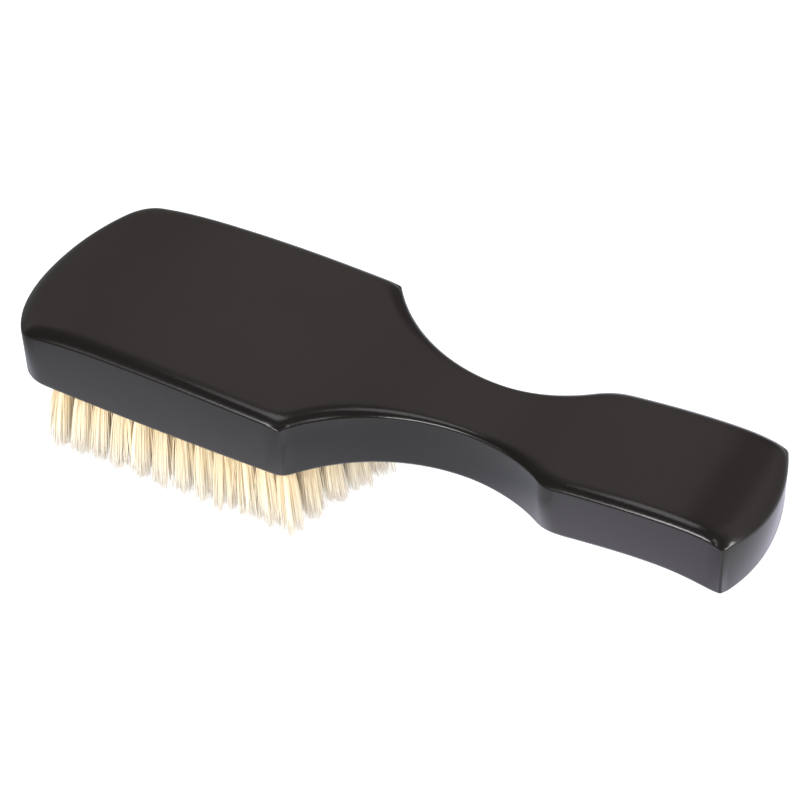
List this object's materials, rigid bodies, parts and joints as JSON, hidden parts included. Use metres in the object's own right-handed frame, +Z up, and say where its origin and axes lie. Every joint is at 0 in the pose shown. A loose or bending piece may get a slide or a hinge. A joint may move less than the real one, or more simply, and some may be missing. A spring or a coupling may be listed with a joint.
{
  "type": "hairbrush",
  "caption": "Club-style hairbrush: one-piece lacquered wooden head and handle, with rows of boar bristle tufts set in blind holes over flat wire anchors.",
  "frame": {"origin": "on the plane of the bristle tips, under the middle of the brush's length and width", "axes": "+X along the brush from the head end to the handle end, +Y across it, +Z up from the bristle tips to the back"},
  "size_m": [0.2054, 0.0614, 0.0394],
  "materials": {
    "black_lacquer": "black lacquer, satin",
    "boar_bristle": "natural bleached boar bristle",
    "anchor_wire": "flat drawn wire"
  },
  "bodies": {
    "root": {"wooden_body": "black_lacquer", "tuft_row_1": "boar_bristle", "tuft_row_2": "boar_bristle", "tuft_row_3": "boar_bristle", "tuft_row_4": "boar_bristle", "tuft_row_5": "boar_bristle", "tuft_row_6": "boar_bristle", "tuft_row_7": "boar_bristle", "tuft_row_8": "boar_bristle", "tuft_row_9": "boar_bristle", "anchor_row_1": "anchor_wire", "anchor_row_2": "anchor_wire", "anchor_row_3": "anchor_wire", "anchor_row_4": "anchor_wire", "anchor_row_5": "anchor_wire", "anchor_row_6": "anchor_wire", "anchor_row_7": "anchor_wire", "anchor_row_8": "anchor_wire", "anchor_row_9": "anchor_wire"}
  },
  "joints": []
}
